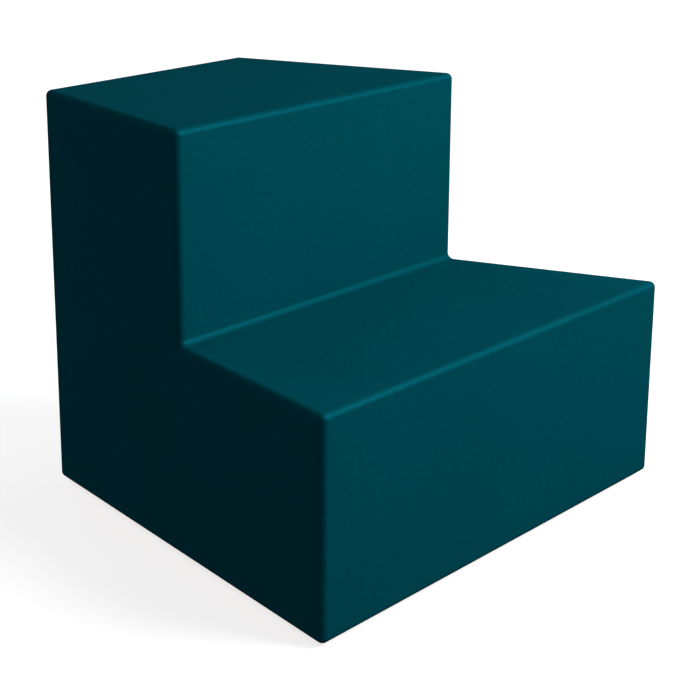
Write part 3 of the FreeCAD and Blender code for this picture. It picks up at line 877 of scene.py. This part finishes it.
def cross_recess(bm, rim, height, depth, span, slot):
    """Fill a ring with a face that has a tapered cross sunk into it. Depth follows +Z."""
    tip, root = span / 2, slot / 2
    shape = []
    for quarter in range(4):
        turn_by = quarter * math.pi / 2
        for x, y in ((tip, -root), (tip, root), (root, root)):
            shape.append((x * math.cos(turn_by) - y * math.sin(turn_by),
                          x * math.sin(turn_by) + y * math.cos(turn_by)))
    mouth = [bm.verts.new((x, y, height)) for x, y in shape]
    floor_ring = [bm.verts.new((x * NARROWER, y * THINNER, height + depth)) for x, y in shape]
    bottom = bm.verts.new((0, 0, height + depth * DEEPER))
    count = len(shape)
    loop = [bm.edges.new((mouth[k - 1], mouth[k])) for k in range(count)]
    outer = [bm.edges.get((rim[k - 1], rim[k])) for k in range(len(rim))]
    bmesh.ops.triangle_fill(bm, edges=loop + outer, use_beauty=True, normal=(0, 0, -1))
    for k in range(count):
        bm.faces.new((mouth[k - 1], mouth[k], floor_ring[k], floor_ring[k - 1]))
        bm.faces.new((floor_ring[k - 1], floor_ring[k], bottom))


# %% [markdown]
# A wood screw has a cone under its head that sinks into the board, a plain neck, a coarse thread
# and a point. A foot screw is thinner and has a domed head that clamps a washer. Both are one
# profile each, from the head's face down to the point.

# %% One wood screw and one foot screw
def wood_screw(length):
    """Countersunk, head at the origin, pointing along +Z."""
    head, shank, point = 4.8 * MM, 2.5 * MM, 6 * MM
    edge, cone, pitch, crest, groove = 0.25 * MM, 3 * MM, 3 * MM, 0.7 * MM, 0.75 * MM
    core = shank * 0.86
    thread_from, point_from = length * 0.35, length - point
    profile = [(head - edge, 0.0), (head, edge), (core, cone), (core, thread_from - 0.6 * MM)]
    profile += [(shank, h) for h in np.arange(thread_from, point_from, groove)]
    profile += [(shank * (length - h) / point, h) for h in (point_from, length - point / 2)]
    profile += [(0.0, length)]
    bm, rings = turned(profile, 16, pitch, crest, (thread_from, point_from - 0.1 * MM))
    cross_recess(bm, rings[0], 0.0, depth=1.8 * MM, span=5.0 * MM, slot=1.1 * MM)
    return crisp(finished_mesh(bm, "wood_screw", zinc_finish))


def foot_screw(length):
    """Pan head, head's face at the origin, pointing along +Z."""
    head, shank, rise, point = 4.2 * MM, 2.0 * MM, 2.0 * MM, 2 * MM
    pitch, crest, groove = 1.4 * MM, 0.45 * MM, 0.35 * MM
    dome = [(head * math.sin(a), rise * 0.5 * (1 - math.cos(a))) for a in (0.85, 1.1, 1.35, 1.57)]
    core = shank * 0.85
    thread_from, point_from = rise + 1.5 * MM, length - point
    profile = dome + [(head, rise), (core, rise), (core, thread_from - 0.3 * MM)]
    profile += [(shank, h) for h in np.arange(thread_from, point_from, groove)]
    profile += [(0.0, length)]
    bm, rings = turned(profile, 20, pitch, crest, (thread_from, point_from))
    cross_recess(bm, rings[0], dome[0][1], depth=1.4 * MM, span=4.4 * MM, slot=1.0 * MM)
    return crisp(finished_mesh(bm, "foot_screw", zinc_finish))


# %% [markdown]
# The tree that lays the copies takes a cloud of points. Each point carries the way its screw
# goes, the copy's Z axis is laid along it, and a random turn about that axis comes last.

# %% Tree: a copy of a pattern at every place
def copies_tree():
    """Each point of the input carries a direction, along which the copy's Z axis is laid."""
    tree, inside, outside = geometry_tree("copies at places", {"Pattern": "Object", "Seed": "Int"})
    way = {"Vector": attribute(tree, "way")}
    lay = add(tree, "FunctionNodeAlignRotationToVector", way, axis="Z")
    pattern = add(tree, "GeometryNodeObjectInfo", {"Object": inside["Pattern"]})
    copy = add(tree, "GeometryNodeInstanceOnPoints", {
        "Points": inside["Geometry"], "Instance": pattern.outputs["Geometry"],
        "Rotation": lay.outputs["Rotation"],
    })
    whole_turn = {3: 2 * math.pi, "Seed": inside["Seed"]}
    angle = add(tree, "FunctionNodeRandomValue", whole_turn, data_type="FLOAT").outputs[1]
    about = add(tree, "ShaderNodeCombineXYZ", {"Z": angle})
    spin = add(tree, "GeometryNodeRotateInstances", {"Rotation": about.outputs[0]})
    return end_tree(tree, inside, outside, copy, spin)


copies = copies_tree()

# %% [markdown]
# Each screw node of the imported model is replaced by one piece. Its seed is its place in the
# list of names, so every run turns the crosses the same way.

# %% Lay the screws
def lay_copies(node_name, pattern_mesh, spots, seed):
    """Put copies of the pattern at (place, way) spots, as one piece that replaces a CAD node."""
    points = bpy.data.meshes.new("places of " + node_name)
    points.from_pydata([spot[0] for spot in spots], [], [])
    way = points.attributes.new("way", "FLOAT_VECTOR", "POINT")
    way.data.foreach_set("vector", np.array([spot[1] for spot in spots], np.float32).ravel())
    pattern = shown("pattern", pattern_mesh)
    piece = shown("cut_" + node_name, grow(copies, "cut_" + node_name, points, pattern=pattern,
                                           seed=seed, finish=zinc_finish))
    bpy.data.objects.remove(pattern)
    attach(piece, "root")
    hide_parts(node_name)
    print(piece.name, len(piece.data.polygons), "faces")


patterns = {}
for seed, name in enumerate(screw_nodes):
    length = screw_places[name][0][2]
    make = foot_screw if name == "foot_screws" else wood_screw
    kind = (make, round(length / MM))
    if kind not in patterns:
        patterns[kind] = make(length)
    lay_copies(name, patterns[kind], screw_places[name], seed)

# %% [markdown]
# A washer under each foot screw spreads its pull over the rubber. It is one turned outline with
# eased edges, laid by the same tree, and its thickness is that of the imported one.

# %% Washers under the foot screws
WASHER_SEED = 40
washer_bore, washer_rim = 2.2 * MM, 7.5 * MM
washer_low, washer_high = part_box("foot_washers")
washer_thick = washer_high.z - washer_low.z
washer_outline = rounded(
    [(washer_bore, 0.0), (washer_rim, 0.0), (washer_rim, washer_thick),
     (washer_bore, washer_thick), (washer_bore, 0.0)], 0.2 * MM)
washer_bm, _ = turned(washer_outline, 40)
bmesh.ops.remove_doubles(washer_bm, verts=washer_bm.verts, dist=0.0001 * MM)
washer = crisp(finished_mesh(washer_bm, "washer", zinc_finish))
washer_spots = [
    (Vector((head.x, head.y, washer_low.z)), Vector((0, 0, 1)))
    for head, _, _ in screw_places["foot_screws"]
]
lay_copies("foot_washers", washer, washer_spots, WASHER_SEED)

# %% [markdown]
# ## Rubber feet
#
# Four moulded feet keep the coat 4 mm off the ground. Each is a turned disc with a soft rim and
# a well for the screw's head, and its sole has rings of small pips that grip a wet yard. The
# rings follow a rule, so a geometry tree lays them out: circles of points, a pip on each.

# %% Tree: grip pips on a sole
PIP_HEIGHT = 0.7 * MM
PIP_RINGS = 3


def pips_tree():
    """Joins rings of pips to the foot it is given. Pip gap is the spacing along each ring."""
    tree, inside, outside = geometry_tree("grip pips", {
        "Centre": "Vector", "Pip width": 0.0018, "Pip height": 0.0007, "Pip gap": 0.0036,
        "First ring": 0.0116, "Ring step": 0.0026})
    half = math_node(tree, "DIVIDE", inside["Pip width"], 2.0)
    pip = add(tree, "GeometryNodeMeshCone", {
        "Vertices": 8,
        "Radius Bottom": math_node(tree, "MULTIPLY", half, 0.7),
        "Radius Top": math_node(tree, "MULTIPLY", half, 1.15),
        "Depth": math_node(tree, "MULTIPLY", inside["Pip height"], 1.3),
    })
    rings = add(tree, "GeometryNodeJoinGeometry")
    for k in range(PIP_RINGS):
        radius = math_node(tree, "MULTIPLY_ADD", inside["Ring step"], float(k),
                           inside["First ring"])
        around = math_node(tree, "MULTIPLY", radius, 2 * math.pi)
        pips = math_node(tree, "ROUND", math_node(tree, "DIVIDE", around, inside["Pip gap"]))
        ring = add(tree, "GeometryNodeMeshCircle", {"Radius": radius, "Vertices": pips})
        feed(ring.outputs["Mesh"], rings.inputs[0])
    on_rings = {"Points": rings.outputs[0], "Instance": pip.outputs["Mesh"]}
    lay = add(tree, "GeometryNodeInstanceOnPoints", on_rings)
    values = {"Geometry": lay.outputs[0], "Translation": inside["Centre"]}
    place = add(tree, "GeometryNodeTransform", values)
    everything = add(tree, "GeometryNodeJoinGeometry", {0: place.outputs[0]})
    feed(inside["Geometry"], everything.inputs[0])
    return end_tree(tree, inside, outside, everything)


foot_pips = pips_tree()

# %% [markdown]
# The body of a foot is one closed outline: down the well, out over the sole, round the soft rim,
# up to the base board and back in to the screw hole. Its width, height and place are those of
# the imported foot, and the sole stands a pip's height above the ground.

# %% The four feet
def foot(node_name):
    """One foot with its pips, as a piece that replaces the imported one."""
    low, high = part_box(node_name)
    centre = (low + high) / 2
    rim, height = (high.x - low.x) / 2, high.z - low.z
    sole, well, hole, web = PIP_HEIGHT, 9.0 * MM, 2.2 * MM, 1.5 * MM
    lip, shoulder, slope = 0.4 * MM, 2.2 * MM, 1.6 * MM
    outline_of_foot = [
        (well, height - web), (well, sole + 0.01 * MM), (well + lip, sole),
        (rim - shoulder, sole), (rim, sole + slope), (rim, height), (hole, height),
        (hole, height - web), (well, height - web),
    ]
    bm, _ = turned(rounded(outline_of_foot, 0.6 * MM, 4), 64)
    bmesh.ops.remove_doubles(bm, verts=bm.verts, dist=0.0001 * MM)
    bmesh.ops.translate(bm, verts=bm.verts, vec=(centre.x, centre.y, low.z))
    body = crisp(finished_mesh(bm, node_name + "_body", rubber_finish))
    pips = grow(foot_pips, "moulded_" + node_name, body, pip_height=PIP_HEIGHT,
                centre=(centre.x, centre.y, low.z), finish=rubber_finish)
    piece = shown("moulded_" + node_name, pips)
    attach(piece, "root")
    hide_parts(node_name)
    print(piece.name, len(piece.data.polygons), "faces")


for name in sorted(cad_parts):
    if name.startswith(("foot_front", "foot_back")):
        foot(name)

# %% [markdown]
# ## Camera
#
# The camera stands about two metres off the corner between the front and the left side and
# looks slightly down. Its long lens keeps the upright edges nearly parallel. It is placed by two
# angles and a distance from the point that it looks at, and tipped by less than half a degree.

# %% Camera
camera_data = bpy.data.cameras.new("camera")
camera_data.lens = 96.03
camera_data.sensor_width = 36
camera = bpy.data.objects.new("camera", camera_data)
bpy.context.scene.collection.objects.link(camera)
azimuth, elevation, roll = (math.radians(degrees) for degrees in (-51.28, 17.63, -0.415))
distance = 2.058
aim = Vector((0.0105, -0.0384, 0.1771))
towards = Vector((
    math.sin(azimuth) * math.cos(elevation), -math.cos(azimuth) * math.cos(elevation),
    math.sin(elevation),
))
camera.location = aim + towards * distance
camera.rotation_mode = "QUATERNION"
upright = (-towards).to_track_quat("-Z", "Y")
camera.rotation_quaternion = Quaternion(-towards, roll) @ upright
bpy.context.scene.camera = camera
print("camera", [round(v, 2) for v in camera.location], "m, lens", round(camera_data.lens), "mm")

# %% [markdown]
# ## Light
#
# The light is that of a product studio: one big soft lamp in front and above, and two weaker
# ones behind and to the right. A lamp's size sets how wide the shine on a rounded edge is, so
# the key lamp is broad. The other two only fill: they don't show in reflections, because a
# second line of shine would blur the edges.

# %% Lamps
def soft_lamp(name, place, size, watts, shines=True):
    """A round area lamp that faces the block. One that doesn't shine shows in no reflection."""
    data = bpy.data.lights.new(name, "AREA")
    data.shape = "DISK"
    data.size = size
    data.energy = watts
    light = bpy.data.objects.new(name, data)
    bpy.context.scene.collection.objects.link(light)
    light.location = place
    light.visible_glossy = shines
    light.rotation_mode = "QUATERNION"
    light.rotation_quaternion = (aim - light.location).to_track_quat("-Z", "Y")
    print(name, watts, "W")


soft_lamp("key lamp", Vector((0.75, -1.6, 1.58)), size=1.7, watts=52)
soft_lamp("back lamp", Vector((-0.1, 3.0, 1.3)), size=1.5, watts=20, shines=False)
soft_lamp("right lamp", Vector((3.0, -0.2, 1.1)), size=1.5, watts=14, shines=False)

# %% [markdown]
# Walls and floor are white to the camera but dim to everything else, as if black flags stood
# just out of view, so that they don't wash out the deep teal. The floor also catches a soft
# shadow. It is plain paper with a glow that fades in with distance and hides the far edge.

# %% White room
ROOM_LIGHT = 0.154     # what the walls and floor give to a matt surface
ROOM_SHINE = 0.05      # what they show in a glossy one
WHITE = (1.0, 1.0, 1.0, 1.0)
COOL = (0.5, 1.0, 1.12, 1.0)


def emptied(made):
    """The node tree of a new world or material, with nothing in it."""
    made.use_nodes = True
    made.node_tree.nodes.clear()
    return made.node_tree


def shown_and_felt(tree, to_camera, dim, output):
    """Show one shader to the camera and a dim one, of this kind, to all other rays."""
    path = add(tree, "ShaderNodeLightPath").outputs
    light, shine = (
        add(tree, dim, {"Color": COOL, "Strength": strength}).outputs[0]
        for strength in (ROOM_LIGHT, ROOM_SHINE)
    )
    others = add(tree, "ShaderNodeMixShader", {0: path["Is Glossy Ray"], 1: light, 2: shine})
    rays = {0: path["Is Camera Ray"], 1: others.outputs[0], 2: to_camera.outputs[0]}
    add(tree, output, {"Surface": add(tree, "ShaderNodeMixShader", rays).outputs[0]})


world = bpy.data.worlds.new("white room")
tree = emptied(world)
white = add(tree, "ShaderNodeBackground", {"Color": WHITE, "Strength": 1.0})
shown_and_felt(tree, white, "ShaderNodeBackground", "ShaderNodeOutputWorld")
bpy.context.scene.world = told(world)

# %% Pale floor
FLOOR_REACH = 20       # metres each way from the block
PAPER = (0.6, 0.6, 0.6, 1.0)
GLOW = (1.0, 0.95, 0.94, 1.0)
NEAR, FAR = 0.5, 3.0   # metres over which the glow comes up
NEAR_GLOW, FAR_GLOW = 0.8, 1.0

pale = bpy.data.materials.new("pale floor")
tree = emptied(pale)
place = add(tree, "ShaderNodeTexCoord").outputs["Object"]
away = add(tree, "ShaderNodeVectorMath", {0: place}, operation="LENGTH").outputs["Value"]
strength = mapped(tree, away, NEAR, FAR, NEAR_GLOW, FAR_GLOW)
paper = add(tree, "ShaderNodeBsdfDiffuse", {"Color": PAPER})
glow = add(tree, "ShaderNodeEmission", {"Color": GLOW, "Strength": strength})
lit_paper = add(tree, "ShaderNodeAddShader", {0: paper.outputs[0], 1: glow.outputs[0]})
shown_and_felt(tree, lit_paper, "ShaderNodeEmission", "ShaderNodeOutputMaterial")

corners = ((-1, -1), (1, -1), (1, 1), (-1, 1))
floor_mesh = bpy.data.meshes.new("floor")
floor_mesh.from_pydata([(x * FLOOR_REACH, y * FLOOR_REACH, 0) for x, y in corners], [],
                       [(0, 1, 2, 3)])
floor_mesh.materials.append(told(pale))
floor = shown("floor", floor_mesh)
bpy.context.scene.view_settings.view_transform = "Standard"
